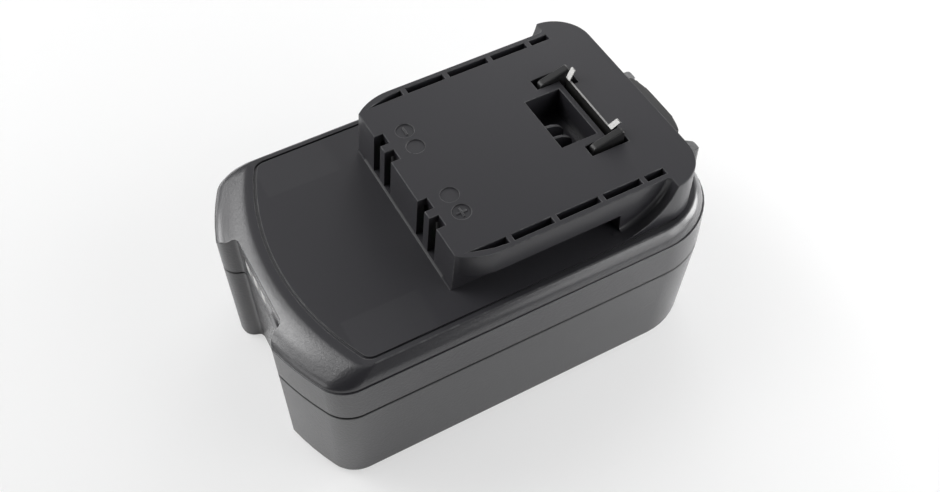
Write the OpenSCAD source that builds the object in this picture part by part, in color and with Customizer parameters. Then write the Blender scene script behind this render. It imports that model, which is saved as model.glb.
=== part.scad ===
// Slide-on battery pack for a cordless tool: two-part case, guide tower with latch, ten cells, two boards.
// Millimetres. +Z is up, +X points to the latch end, -X to the gauge end. The origin is under the middle.

/* [Cells] */
// Radius of a cell can
cell_r = 9.05; // [8.6:0.05:9.6]
// Length of a cell
cell_len = 64.8; // [60:0.2:70]
// Thickness of the sleeve round a cell
sleeve_t = 0.15; // [0.1:0.05:0.3]
// Gap between the sleeves of one layer
cell_gap = 0.4; // [0.2:0.05:1]
// Gap between the sleeves of the two layers
layer_gap = 0.2; // [0.1:0.05:0.6]
// Wall of the cell frames beyond the outer sleeves
frame_edge = 0.6; // [0.4:0.1:1]

/* [Case] */
// Room between a cell end and the outside of the side wall
side_room = 5.7; // [5.2:0.1:8]
// Room between the cell frames and the rear wall
rear_room = 10.6; // [9.6:0.1:14]
// Room between the cell frames and the back wall of the front recess
gauge_room = 7.5; // [6.8:0.1:9]
// Height of the deck over the cell frames
deck_room = 2.75; // [2.5:0.05:5]
// Drop of the parting line below the upper cell axes
part_drop = 2.0; // [1:0.1:4]
// Wall thickness
wall = 2.0; // [1.6:0.1:2.2]
// Radius of the front bow
bow_r = 71.5; // [64:0.5:80]
// Radius of the front corners
front_r = 8.6; // [7:0.2:11]
// Radius of the rear corners
rear_r = 20; // [17:0.5:22]
// Inward lean of the side walls between parting line and base
tray_draft = 1.2; // [0.6:0.1:1.6]
// Inward lean of the front columns between parting line and base
front_draft = 0.1; // [0:0.1:0.8]
// Inward lean of the rear wall between parting line and base
rear_draft = 2.6; // [1:0.1:3]
// Radius of the base edge
base_r = 1.6; // [1:0.1:2.2]
// Depth of the parting groove
part_groove = 0.35; // [0.2:0.05:0.5]

/* [Shoulder] */
// Height of the shoulder below the deck
shoulder_h = 4.0; // [3.4:0.1:4.6]
// Step between shoulder and side band
shoulder_step = 0.45; // [0.3:0.05:0.7]
// Distance of the side creases from the side walls
crease_in = 2.8; // [2.2:0.1:4]
// Distance of the front crease behind the recess wall
crease_back = 3.6; // [2.8:0.1:4.4]
// Radius of the front crease
crease_bow = 76; // [68:0.5:84]
// Radius of the crease corners
crease_r = 4.6; // [3:0.2:7]
// Width of the flat rim inside the crease
rim_w = 1.2; // [0.9:0.1:1.6]
// Width of the border groove
border_w = 0.6; // [0.5:0.05:0.8]
// Depth of the border groove
border_d = 0.5; // [0.3:0.05:0.7]

/* [Front recess] */
// Half width of the back wall of the recess
recess_y = 14.4; // [13.4:0.1:15.8]
// Half width of the recess at its mouth
recess_mouth = 18.6; // [17.2:0.1:20]
// Depth of the recess behind the tip of the front bow
recess_d = 6.9; // [6.2:0.1:7.6]

/* [Guide tower] */
// Height of the tower plate over the deck
tower_h = 12.3; // [11.8:0.1:13.6]
// Length of the tower plate
tower_l = 66.4; // [60:0.2:72]
// Distance of the plate's rear edge from the rear wall
tower_in = 6.8; // [6.2:0.1:7.6]
// Half width over the rails
rail_y = 29.65; // [28.6:0.05:30.6]
// Half width of the tower under the rails
core_y = 25.8; // [25.2:0.05:26.2]
// Thickness of the rails
rail_t = 6.85; // [6:0.05:7.4]
// Forward lean of the tower front
front_lean = 1.1; // [0.6:0.1:1.6]
// Radius of the rail lead-in
lead_r = 14.8; // [12:0.2:18]
// Length of the guide groove under a rail
groove_l = 43; // [38:0.2:46]
// Reach of the ears beyond the rails
ear_out = 3.55; // [3:0.05:4]
// Length of the ears along the plate
ear_l = 10; // [9:0.1:11]
// Radius of the scoop in front of the ears
scoop_r = 15.8; // [14:0.2:18]
// Radius of the rear plate corners
ear_r = 10.5; // [9:0.1:12]
// Thickness of the plate
plate_t = 2.4; // [2:0.1:2.8]

/* [Plate openings] */
// Half width of the catch window
window_y = 8.9; // [8:0.1:9.3]
// Distance of the window's front from the plate's rear edge
window_in = 27.7; // [27:0.1:29]
// Length of the catch window
window_l = 10; // [9:0.1:10.4]
// Depth of the catch window
window_d = 8.4; // [7:0.1:9]
// Width of the contact slots
contact_w = 3.5; // [3:0.1:3.8]
// Depth of the contact slots behind the plate edge
contact_d = 2.4; // [2:0.1:3]
// Inner contact position
contact_in = 8.9; // [8.6:0.1:9.4]
// Outer contact position
contact_out = 14.9; // [14.5:0.1:15.4]
// Width of the rail cores
core_slot_w = 1.85; // [1.4:0.05:2]
// Depth of the rail cores
core_slot_d = 5.2; // [3:0.1:5.4]
// Diameter of the polarity marks
mark_d = 4.6; // [4:0.1:5.6]

/* [Latch] */
// Travel of the latch
latch_travel = 4.4; // [4:0.1:4.6]
// Height of the prongs over the plate
prong_h = 2.6; // [2.2:0.1:3.4]
// Inner side of the prongs
prong_y0 = 11.65; // [11.4:0.05:12]
// Width of the prongs
prong_w = 2.1; // [1.8:0.1:2.6]
// Distance of the prong tips from the plate's rear edge
prong_in = 21.5; // [21:0.1:22]
// Length of the prongs
prong_l = 8.9; // [8.5:0.1:9.4]
// Front face of the steel insert ahead of the prongs' rear faces
steel_in = 2.1; // [1.8:0.1:2.4]
// Thickness of the steel insert
steel_t = 0.5; // [0.4:0.1:0.8]
// Half width of the steel insert
steel_y = 10.6; // [10.4:0.1:11]
// Width of the end tabs of the steel insert
tab_w = 1.6; // [1.2:0.1:2]
// Reach of the end tabs behind the insert
tab_l = 2.3; // [2:0.1:2.6]
// Rise of the end tabs over the insert
tab_h = 2.1; // [1.6:0.1:2.4]
// Half width of the release button
button_y = 11.3; // [10.2:0.1:12]
// Height of the release button
button_h = 6.6; // [6:0.1:7]
// Bulge of the button behind the rear wall
button_bulge = 2.2; // [1.4:0.1:2.6]
// Reach of the button cheeks behind the rear wall
cheek_out = 3.9; // [3.4:0.1:4.4]
// Half width over the button cheeks
cheek_y = 16.7; // [15.8:0.1:17.4]
// Top of the button cheeks below the deck
cheek_drop = 0.6; // [0.5:0.1:1.2]
// Clearance round moving pieces
gap = 0.35; // [0.3:0.05:0.45]

/* [Springs] */
// Outer diameter of the latch springs
spring_d = 6; // [5:0.1:6.2]
// Wire diameter
spring_wire = 0.65; // [0.5:0.05:0.7]
// Number of curls
spring_n = 5; // [4:1:5]

/* [Gauge] */
// Half width of the gauge strip
gauge_y = 12.6; // [12:0.1:13]
// Height of the gauge strip
gauge_h = 7.2; // [6.8:0.1:7.4]
// Position of the test button across the strip
test_y = -8.2; // [-8.6:0.1:-8]
// Radius of the test button
test_r = 2.9; // [2.6:0.1:3]
// Travel of the test button
test_travel = 0.5; // [0.4:0.05:0.6]

/* [Hidden] */
$fn = 48;
seam = 0.02;
edge_h = 0.4;
fit = 0.05;
sleeve_r = cell_r + sleeve_t;
cap_r = 4;
cell_pitch = 2 * sleeve_r + cell_gap;
layer_pitch = 2 * sleeve_r + layer_gap;
cell_x0 = 0.4 - 2 * cell_pitch;
cell_z0 = wall + sleeve_r + 0.7;
frame_x0 = cell_x0 - sleeve_r - frame_edge;
frame_x1 = cell_x0 + 4 * cell_pitch + sleeve_r + frame_edge;
frame_y1 = cell_len / 2;
frame_y0 = frame_y1 - 7;
frame_top = cell_z0 + layer_pitch + sleeve_r + 0.75;
strip_t = 0.25;
case_y = cell_len / 2 + side_room;
rear_x = frame_x1 + rear_room;
recess_x = gauge_room - frame_x0;
front_x = recess_x + recess_d;
part_z = cell_z0 + layer_pitch - part_drop;
deck_z = frame_top + deck_room;
deck_under = deck_z - wall;
shoulder_z = deck_z - shoulder_h;
// Inside of the shoulder: its ceiling, and the skin left behind the crease.
cavity_top = shoulder_z - 1.6;
crease_skin = 0.6;
crease_y = case_y - crease_in;
crease_x = recess_x - crease_back;
crease_rear = rear_x - crease_in;
crease_rear_r = rear_r - 2.3;
mouth_x = 0.27;
plate_z = deck_z + tower_h;
plate_rear = rear_x - tower_in;
plate_front = tower_l - plate_rear;
rail_z = plate_z - rail_t;
plate_under = plate_z - plate_t;
groove_end = groove_l - plate_front;
ear_y = rail_y + ear_out;
ear_x = plate_rear - ear_l;
scoop_cz = deck_z + scoop_r;
scoop_fillet = 1.3;
scoop_cx = ear_x - sqrt(pow(scoop_r, 2) - pow(scoop_cz - plate_z, 2));
screw_pos = [[4.1 - recess_x, case_y - 11.1], [4.1 - recess_x, 11.1 - case_y], [rear_x - 6.1, case_y - 18.7],
  [rear_x - 6.1, 18.7 - case_y]];
boss_r = 3.3;
screw_r = 1.5;
head_z = 12;
head_r = 2.6;
head_h = 2.35;
cheek_x = rear_x + cheek_out;
cheek_z = deck_z - cheek_drop;
well_y = button_y + gap;
button_top = deck_z + 3.1;
button_z0 = button_top - button_h;
well_z0 = button_z0 - latch_travel - 0.4;
core_slot_y = core_y + 0.6;
core_x = plate_rear - 52.05;
contact_sill = 0.6;
window_x0 = plate_rear - window_in;
window_x1 = window_x0 + window_l;
prong_x0 = plate_rear - prong_in;
prong_x1 = prong_x0 + prong_l;
steel_x = prong_x1 - steel_in;
slot_y0 = prong_y0 - gap;
slot_y1 = prong_y0 + prong_w + 1.15;
bar_x0 = window_x1 + 1.5;
skin = 1.5;
rib_l = 5.6;
rib_t = 0.8;
rib_drop = 4.4;
mark_x = 7.6 - plate_front;
mark_sink = 0.3;
mark_line = 0.6;
mark_arm = 1.45;
slider_top = plate_under - 0.3;
slider_z0 = deck_z + 2.8;
beam_x0 = steel_x + steel_t + fit;
beam_x1 = plate_rear - wall - gap - 0.3;
slider_y = slot_y1 + 1.2;
spring_x = plate_rear - 7.6;
spring_y = 12;
spring_pocket = slider_z0 + 5;
guide_x0 = spring_x - 4.8;
guide_x1 = spring_x + 3.4;
steel_z = plate_z + 1.2;
tab_out = 0.7;
peg_x = plate_rear - 5;
peg_y = 5;
peg_r = 1.2;
rivet_r = 1;
rivet_z = slider_z0 + 2.6;
tongue_y = 8.4;
tongue_z0 = slider_z0 - 2.9;
tongue_z1 = slider_z0 - fit;
gauge_wall = recess_x - wall;
gauge_z0 = part_z + 1.7;
gauge_z1 = gauge_z0 + gauge_h;
gauge_mid = (gauge_z0 + gauge_z1) / 2;
light_y = [10.6, 5.6, 0.6];
light_w = 2.6;
light_h = 3.2;
lens_front = 0.25 - recess_x;
flange_x = 0.7 + gap - gauge_wall;
board_x = 3.4 - gauge_wall;
board_top = cavity_top - 0.15;
carrier_z0 = frame_top + fit;
carrier_z1 = deck_under - fit;
carrier_x0 = 2.2 - plate_front;
carrier_y = core_y - wall - 0.3;
wing_x = carrier_x0 + 9.6;
wing_y = frame_y1 - 2.4;
board_z0 = carrier_z1 + 2.2;
board_z1 = board_z0 + 1.6;
board_x1 = window_x0 - 2.4;
post_pos = [[carrier_x0 + 3.2, 20.2], [carrier_x0 + 3.2, -20.2],
  [board_x1 - 3.2, 20.2], [board_x1 - 3.2, -20.2]];
block_x0 = carrier_x0 + 0.5;
block_x1 = block_x0 + 11;
block_y = contact_out + 2.5;
block_z1 = plate_under - 0.4;
blade_w = 2.2;
leaf_y0 = 0.45;
leaf_y1 = 0.95;
lead_w = 3;
lead_t = 0.3;
lead_y = 15;
lead_z = frame_top - 0.42;
lead_x0 = cell_x0 - 2;
lead_x1 = cell_x0 + 4 * cell_pitch - 3;
ribbon_w = 8;
ribbon_end = carrier_x0 + 8.6;
sensor_x = cell_x0 + 2.5 * cell_pitch;
spring_z0 = carrier_z1 + fit;
spring_z1 = spring_pocket - fit;
nf = 9;
nc = 14;
nr = 12;

// Where a lead rises to the board: the positive one on the +Y side, the negative one on the -Y side.
function lead_end(y) = carrier_x0 + (y > 0 ? 26.6 : 8.6);

// Half of a closed outline: front bow, front corner, rear corner.
// Arguments: half width, front tip, bow radius, front corner radius, rear end, rear corner radius.
function half_ring(w, xf, b, rc, xr, rr) =
  let (cy = w - rc, c = b - xf, cx = c - sqrt(pow(b - rc, 2) - cy * cy), a = asin(cy / (b - rc)))
  concat(
    [for (i = [0 : nf - 1]) [c - b * cos(a * i / nf), b * sin(a * i / nf)]],
    [for (i = [0 : nc]) let (t = a + (90 - a) * i / nc) [cx - rc * cos(t), cy + rc * sin(t)]],
    [for (i = [0 : nr]) let (t = 90 - 90 * i / nr) [xr - rr + rr * cos(t), w - rr + rr * sin(t)]]);

// The whole outline, counter-clockwise from the front tip.
function ring(w, xf, b, rc, xr, rr) =
  let (h = half_ring(w, xf, b, rc, xr, rr), n = len(h))
  concat([for (p = h) [p[0], -p[1]]], [for (i = [n - 1 : -1 : 1]) h[i]]);

// The case outline drawn in by d, and the crease outline drawn in by d.
function case_ring(d) =
  ring(case_y - d, front_x - d, bow_r - d, front_r - d * 0.8, rear_x - d, rear_r - d);
// The tray outline at the base, drawn in by d.
function base_ring(d) =
  ring(case_y - tray_draft - d, front_x - front_draft - d, bow_r - d, front_r - d * 0.8,
    rear_x - rear_draft - d,
    rear_r - 0.6 * rear_draft - d);
function crease_ring(d) =
  ring(crease_y - d, crease_x - d, crease_bow - d, max(crease_r - d, 0.8),
    crease_rear - d, crease_rear_r - d);

// Outline between shoulder edge (t = 0) and crease (t = 1).
function shoulder_ring(t, d) =
  ring(case_y + (crease_y - case_y) * t - d * (1 - t), front_x + (crease_x - front_x) * t - d * (1 - t),
    bow_r + (crease_bow - bow_r) * t, front_r + (crease_r - front_r) * t, rear_x + (crease_rear - rear_x) * t
    - d * (1 - t), rear_r + (crease_rear_r - rear_r) * t);

// Solid through rings at rising heights, all with the same number of points.
module loft(rings, zs) {
  n = len(rings[0]);
  m = len(rings);
  pts = [for (k = [0 : m - 1]) for (p = rings[k]) [p[0], p[1], zs[k]]];
  side = [for (k = [0 : m - 2]) for (i = [0 : n - 1]) let (j = (i + 1) % n)
    each [[k * n + i, k * n + n + j, k * n + j], [k * n + i, k * n + n + i, k * n + n + j]]];
  base = [for (i = [0 : n - 1]) i];
  lid = [for (i = [n - 1 : -1 : 0]) (m - 1) * n + i];
  polyhedron(pts, concat([base], [lid], side));
}

module prism(pts, z0, z1) {
  translate([0, 0, z0]) linear_extrude(height = z1 - z0) polygon(pts);
}

module block(x0, x1, y0, y1, z0, z1) {
  translate([x0, y0, z0]) cube([x1 - x0, y1 - y0, z1 - z0]);
}

// Profile in X and Z carried across in Y.
module across(pts, y0, y1) {
  translate([0, y1, 0]) rotate([90, 0, 0]) linear_extrude(height = y1 - y0) polygon(pts);
}

module both_sides() {
  children();
  mirror([0, 1, 0]) children();
}

// Recess between the front columns, grown by g.
function recess_pts(g) =
  let (y0 = recess_y + g, xb = g - recess_x, r = max(recess_mouth - recess_y - g, 0.6),
    side = concat([[xb, y0 - 1.2], [xb - 0.4, y0 - 0.3], [xb - 1, y0 + 0.05]],
      [for (a = [-70 : 12 : 14]) [-recess_x - mouth_x - r * cos(a), recess_mouth + r * sin(a)]],
      [[-front_x - 4, recess_mouth + r + 1]]))
  concat(side, [for (i = [len(side) - 1 : -1 : 0]) [side[i][0], -side[i][1]]]);

module bottom_case() {
  color([0.12, 0.12, 0.13]) difference() {
    union() {
      difference() {
        loft([base_ring(base_r), base_ring(base_r * 0.62), base_ring(base_r * 0.29), base_ring(base_r * 0.08),
          base_ring(0), case_ring(seam), case_ring(part_groove)],
          [0, base_r * 0.08, base_r * 0.29, base_r * 0.62, base_r, part_z - edge_h, part_z - seam]);
        difference() {
          loft([base_ring(wall), case_ring(wall)], [wall, part_z + 1]);
          prism(recess_pts(wall), 0, part_z + 2);
        }
      }
      for (p = screw_pos) translate([p[0], p[1], 1]) cylinder(r = boss_r, h = part_z - 1.2);
    }
    prism(recess_pts(0), -1, part_z + 1);
    for (p = screw_pos) translate([p[0], p[1], -1]) {
      cylinder(r = screw_r + 0.25, h = part_z + 2);
      cylinder(r = head_r + 0.3, h = 1 + head_z);
    }
  }
}

module tower_outline(z0, z1) {
  yl = rail_y - lead_r;
  xl = -plate_front + sqrt(pow(lead_r, 2) - pow(core_y - yl, 2));
  a0 = acos((core_y - yl) / lead_r);
  pts = concat(
    [[-plate_front - 3, core_y]],
    [for (i = [0 : 8]) let (a = a0 * (1 - i / 8)) [xl - lead_r * sin(a), yl + lead_r * cos(a)]],
    [[plate_rear - ear_r, rail_y], [plate_rear - ear_r, -rail_y]],
    [for (i = [8 : -1 : 0]) let (a = a0 * (1 - i / 8)) [xl - lead_r * sin(a), -yl - lead_r * cos(a)]],
    [[-plate_front - 3, -core_y]]);
  prism(pts, z0, z1);
}

// Rear part of the tower with its rounded corners.
module tower_rear(z0, z1) {
  hull_y = ear_y - ear_r;
  for (s = [-1, 1]) translate([plate_rear - ear_r, s * hull_y, z0])
    cylinder(r = ear_r, h = z1 - z0, $fn = 96);
  both_sides() block(scoop_cx, plate_rear - ear_r, rail_y, ear_y, z0, z1);
  block(groove_end, plate_rear - ear_r, -rail_y, rail_y, z0, z1);
  block(plate_rear - ear_r - 1, plate_rear, -hull_y, hull_y, z0, z1);
}

// Hollow in front of an ear, rounded where it meets the rail.
module scoop() {
  f = scoop_fillet;
  pts = concat([[0, 0]], [for (i = [0 : 6]) let (a = 15 * i) [scoop_r - f + f * sin(a), f - f * cos(a)]],
    [[scoop_r, 10], [0, 10]]);
  translate([scoop_cx, rail_y, scoop_cz]) rotate([-90, 0, 0]) rotate_extrude($fn = 96) polygon(pts);
  block(scoop_cx - 1, groove_end, rail_y, rail_y + f, deck_z + 0.1, plate_z);
}

module tower_solid() {
  front = [[-plate_front - front_lean - 0.5, deck_z - 1], [-plate_front - front_lean - 0.5, deck_z],
    [-plate_front - front_lean, deck_z + 0.5], [-plate_front, plate_z],
    [rear_x, plate_z], [rear_x, deck_z - 1]];
  intersection() {
    across(front, -ear_y - 1, ear_y + 1);
    union() {
      block(-plate_front - 3, plate_rear - ear_r, -core_y, core_y, deck_z - 1, plate_z);
      tower_outline(rail_z, plate_z);
      difference() {
        tower_rear(deck_z - 1, plate_z);
        both_sides() scoop();
      }
    }
  }
}

// Raised pad on the rear wall that leaves a cheek on each side of the button.
module button_cheeks() {
  r = 1.5;
  x0 = rear_x - 4;
  z0 = part_z + 2.2;
  foot = 4.2;
  side = [[x0, z0], [rear_x - 0.5, z0], [cheek_x - 0.4, z0 + foot], [cheek_x, z0 + foot + 1],
    [cheek_x, cheek_z - 0.6], [cheek_x - 0.6, cheek_z], [x0, cheek_z + 0.3]];
  intersection() {
    across(side, -cheek_y, cheek_y);
    union() {
      block(x0 - 1, cheek_x - r, -cheek_y, cheek_y, z0 - 1, deck_z);
      block(x0 - 1, cheek_x, -cheek_y + r, cheek_y - r, z0 - 1, deck_z);
      for (s = [-1, 1]) translate([cheek_x - r, s * (cheek_y - r), z0 - 1])
        cylinder(r = r, h = deck_z - z0 + 1);
    }
  }
}

// Cores in the rails: a leaf at the lead-in and four straight slots.
module rail_cores() {
  w = core_slot_w;
  starts = [0, 12.15, 24.9, 36.6];
  lengths = [10.65, 11.3, 10.25, 5.35];
  translate([core_x, core_slot_y, plate_z - core_slot_d]) {
    for (i = [0 : 3]) translate([starts[i], 0, 0]) cube([lengths[i], w, core_slot_d + 1]);
    linear_extrude(height = core_slot_d + 1)
      polygon([[-10.75, -0.1], [-1.45, 0], [-1.45, w], [-5.05, w - 0.35], [-8.35, w - 1.2]]);
  }
}

module contact_slots() {
  for (y = [-contact_out, -contact_in, contact_in, contact_out])
    block(-plate_front - 3, -plate_front + contact_d, y - contact_w / 2, y + contact_w / 2,
      deck_z + contact_sill,
      plate_z + 1);
}

// Openings for prongs and steel insert, cut through the plate.
module latch_openings() {
  z0 = plate_under - 1;
  z1 = plate_z + 1;
  both_sides() block(prong_x0 - 1.1, prong_x1 + gap + 0.1, slot_y0, slot_y1, z0, z1);
  block(bar_x0, steel_x + steel_t + gap, -slot_y0 - 0.1, slot_y0 + 0.1, z0, z1);
  both_sides() block(steel_x - gap, steel_x + tab_l + gap, steel_y - tab_w - gap, slot_y0 + 0.1, z0, z1);
}

// Catch window with two ribs that curve down from its front wall.
module window_pocket() {
  z0 = plate_z - window_d - 1;
  rib = concat([[window_x0 - 1, z0], [window_x0 - 1, plate_z - 0.7]],
    [for (i = [0 : 6]) let (a = 15 * i)
      [window_x0 + rib_l * sin(a), plate_z - rib_drop + (rib_drop - 0.7) * cos(a)]],
    [[window_x0 + rib_l, z0]]);
  difference() {
    block(window_x0, window_x1, -window_y, window_y, plate_z - window_d, plate_z + 1);
    for (y = [-0.5, -4.6]) across(rib, y - rib_t / 2, y + rib_t / 2);
  }
}

// Sunk discs behind the contact slots. A polarity sign stands in each outer one.
module polarity_marks() {
  w = mark_line / 2;
  z0 = plate_z - mark_sink;
  difference() {
    for (y = [-contact_out, -contact_in, contact_in, contact_out]) translate([mark_x, y, z0])
      cylinder(d = mark_d, h = 1);
    for (y = [-contact_out, contact_out])
      block(mark_x - w, mark_x + w, y - mark_arm, y + mark_arm, z0 - 1, z0 + 2);
    block(mark_x - mark_arm, mark_x + mark_arm, -contact_out - w, -contact_out + w, z0 - 1, z0 + 2);
  }
}

module top_case() {
  sh = [[0, 0], [0.006, 0.066], [0.025, 0.14], [0.06, 0.224], [0.115, 0.32],
    [0.19, 0.422], [0.28, 0.522], [0.4, 0.634], [0.55, 0.751], [0.75, 0.878], [1, 1]];
  zb = shoulder_z;
  dz = deck_z - shoulder_z;
  color([0.13, 0.13, 0.14]) difference() {
    union() {
      difference() {
        union() {
          loft(concat([case_ring(part_groove), case_ring(seam), case_ring(0.1)],
            [for (s = sh) shoulder_ring(s[0], shoulder_step)]),
            concat([part_z + seam, part_z + edge_h, zb - 0.01], [for (s = sh) zb + dz * s[1]]));
          tower_solid();
          button_cheeks();
        }
        difference() {
          union() {
            prism(case_ring(wall + 0.1), part_z - 1, cavity_top);
            prism(crease_ring(crease_skin), part_z - 1, deck_under);
            block(-plate_front + 1.6, plate_rear - wall, -core_y + wall, core_y - wall, deck_under - 1,
              plate_under);
          }
          prism(recess_pts(wall), part_z - 2, deck_z);
          block(window_x0 - skin, bar_x0, -window_y - skin, window_y + skin,
            plate_z - window_d - skin, plate_z);
          block(plate_rear - wall, rear_x + 1, -well_y - skin, well_y + skin, well_z0 - skin, plate_z);
          both_sides() block(guide_x0, guide_x1, slider_y + gap, slider_y + gap + 1.35, deck_z, plate_z);
          for (p = screw_pos) translate([p[0], p[1], part_z - 2]) cylinder(r = boss_r, h = 20);
          both_sides() difference() {
            block(-gauge_wall - 1, board_x + 2.2, gauge_y + 2.6, gauge_y + 4.4, part_z - 2, deck_z);
            block(board_x - 0.1, board_x + 1.3, gauge_y + 1, gauge_y + 3.4, part_z - 3, board_top + 0.2);
          }
        }
      }
    }
    difference() {
      prism(crease_ring(rim_w), deck_z - border_d, deck_z + 1);
      prism(crease_ring(rim_w + border_w), deck_z - 3, deck_z + 2);
      tower_keep();
    }
    prism(recess_pts(0), part_z - 2, plate_z);
    contact_slots();
    both_sides() rail_cores();
    window_pocket();
    latch_openings();
    polarity_marks();
    button_well();
    block(plate_rear - wall - 1, plate_rear + 1, -tongue_y - 0.6, tongue_y + 0.6,
      tongue_z0 - latch_travel - 0.4,
      tongue_z1 + 0.4);
    for (p = screw_pos) translate([p[0], p[1], part_z - 2]) cylinder(r = screw_r - 0.1, h = 11);
    block(-recess_x - 1, -gauge_wall + 1, -gauge_y, gauge_y, gauge_z0, gauge_z1);
  }
}

// Well of the release button, its mouth flared between the cheeks.
module button_well() {
  mouth = cheek_out - 0.8;
  prism([[plate_rear, -well_y], [rear_x + 0.8, -well_y],
    [cheek_x + 1, -well_y - mouth], [cheek_x + 1, well_y + mouth],
    [rear_x + 0.8, well_y], [plate_rear, well_y]], well_z0, plate_z + 1);
}

// Space kept clear of the border groove where the tower stands.
module tower_keep() {
  tower_rear(deck_z - 2, deck_z + 3);
}

module housing_screws() {
  color([0.6, 0.6, 0.62]) for (p = screw_pos) translate([p[0], p[1], 0]) difference() {
    union() {
      translate([0, 0, head_z - head_h - fit]) cylinder(r = head_r, h = head_h);
      translate([0, 0, head_z - 0.5]) cylinder(r = screw_r - 0.15, h = part_z + 7 - head_z);
    }
    translate([0, 0, head_z - 3]) cylinder(r = 1.3, h = 2, $fn = 6);
  }
}

module latch_slider() {
  py1 = prong_y0 + prong_w;
  ramp = [[prong_x0, slider_top - 1], [prong_x0, plate_z - 0.2], [prong_x0 + 0.3, plate_z + 0.25],
    [prong_x0 + 0.9, plate_z + 0.6], [prong_x1 - 0.7, plate_z + prong_h], [prong_x1, plate_z + prong_h - 0.5],
    [prong_x1, slider_top - 1]];
  color([0.14, 0.14, 0.15]) difference() {
    union() {
      block(beam_x0, beam_x1, -slider_y, slider_y, slider_z0, slider_top);
      both_sides() block(prong_x0 - 0.6, beam_x0 + 1, prong_y0 - 0.3, slider_y, slider_z0, slider_top);
      both_sides() across(ramp, prong_y0, py1);
      for (s = [-1, 1]) translate([beam_x0 - steel_t - 0.2, s * peg_y, rivet_z]) rotate([0, 90, 0])
        cylinder(r = rivet_r, h = 2);
    }
    for (s = [-1, 1]) translate([spring_x, s * spring_y, slider_z0 - 1])
      cylinder(d = spring_d + 1.2, h = spring_pocket - slider_z0 + 1);
    for (s = [-1, 1]) translate([peg_x, s * peg_y, slider_z0 - 1]) cylinder(r = peg_r + fit, h = 4.5);
  }
}

// Folded sheet: upright web with a tab at each end, bent up and back along the prong.
module latch_steel_insert() {
  t = 0.7 * steel_t;
  color([0.8, 0.8, 0.82]) difference() {
    union() {
      block(steel_x, steel_x + steel_t, -steel_y, steel_y, slider_z0 + 0.4, steel_z);
      both_sides() hull() {
        block(steel_x, steel_x + t, steel_y - tab_w, steel_y, steel_z - t - 0.1, steel_z - 0.1);
        block(steel_x + tab_l - t, steel_x + tab_l, steel_y - tab_w + tab_out, steel_y + tab_out,
          steel_z + tab_h - t, steel_z + tab_h);
      }
    }
    for (s = [-1, 1]) translate([steel_x - 1, s * peg_y, rivet_z]) rotate([0, 90, 0])
      cylinder(r = rivet_r + fit, h = 3);
  }
}

// Thumb pad with a bowed rear face, tongue and two pegs.
module release_button() {
  x0 = plate_rear + gap + 0.05;
  x1 = rear_x + button_bulge;
  z0 = button_z0 - 1;
  rb = (pow(button_y, 2) + pow(button_bulge, 2)) / (2 * button_bulge);
  side = [[x0, z0], [x0, button_top], [x1 - 1.6, button_top], [x1 - 0.7, button_top - 0.3],
    [x1 - 0.2, button_top - 0.9], [x1, button_top - 1.8], [x1, z0]];
  color([0.11, 0.11, 0.12]) union() {
    intersection() {
      block(x0, x1, -button_y, button_y, button_z0, button_top);
      translate([x1 - rb, 0, z0]) cylinder(r = rb, h = button_h + 2, $fn = 180);
      across(side, -button_y, button_y);
    }
    block(peg_x - 2, x0 + 1, -tongue_y, tongue_y, tongue_z0, tongue_z1);
    for (s = [-1, 1]) translate([peg_x, s * peg_y, tongue_z1 - 1]) cylinder(r = peg_r, h = 3.8);
  }
}

// Coil as one tube: n curls, eight rings a curl, six sides.
module coil(n, d, w, h) {
  r = (d - w) / 2;
  m = n * 8;
  pitch = (h - w) / n;
  pts = [for (k = [0 : m]) for (j = [0 : 5]) let (a = k * 45, b = j * 60)
    [(r + w / 2 * cos(b)) * cos(a), (r + w / 2 * cos(b)) * sin(a), w / 2 + pitch * k / 8 + w / 2 * sin(b)]];
  side = [for (k = [0 : m - 1]) for (j = [0 : 5]) let (i = (j + 1) % 6)
    each [[k * 6 + j, k * 6 + i, k * 6 + 6 + i], [k * 6 + j, k * 6 + 6 + i, k * 6 + 6 + j]]];
  polyhedron(pts, concat([[0, 5, 4, 3, 2, 1]], [[for (j = [0 : 5]) m * 6 + j]], side));
}

module latch_springs() {
  echo(least_self_gap = (spring_z1 - spring_z0 - spring_wire) / spring_n - spring_wire);
  color([0.75, 0.75, 0.77]) for (s = [-1, 1]) translate([spring_x, s * spring_y, spring_z0])
    coil(spring_n, spring_d, spring_wire, spring_z1 - spring_z0);
}

// Bar of one gauge light between two stations, drawn in by d.
module light(y, x0, x1, d) {
  block(x0, x1, y - light_w / 2 + d, y + light_w / 2 - d,
    gauge_mid - light_h / 2 + d, gauge_mid + light_h / 2 - d);
}

module gauge_lens() {
  color([0.25, 0.25, 0.27]) difference() {
    union() {
      block(lens_front, -gauge_wall + fit, -gauge_y + fit, gauge_y - fit, gauge_z0 + fit, gauge_z1 - fit);
      block(-gauge_wall + fit, -gauge_wall + 0.7, -gauge_y - 1.2, gauge_y + 1.2,
        gauge_z0 - 0.9, gauge_z1 + 0.1);
    }
    for (y = light_y) light(y, lens_front - 1, -gauge_wall + 2, 0);
    translate([lens_front - 1, test_y, gauge_mid]) rotate([0, 90, 0]) cylinder(r = test_r + gap, h = 6);
  }
}

module gauge_light_pipes() {
  color([0.9, 0.9, 0.88]) for (y = light_y) light(y, lens_front - 0.1, board_x - 1.1, fit);
}

module gauge_button() {
  color([0.3, 0.3, 0.32]) translate([0, test_y, gauge_mid]) rotate([0, 90, 0]) {
    translate([0, 0, lens_front - 0.75]) cylinder(r = test_r, h = flange_x - lens_front + 0.8);
    translate([0, 0, flange_x]) cylinder(r = test_r + 0.8, h = 0.45);
  }
}

module gauge_board() {
  color([0.1, 0.35, 0.2])
    block(board_x, board_x + 1.2, -gauge_y - 3.2, gauge_y + 3.2, part_z + 0.6, board_top);
}

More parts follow.
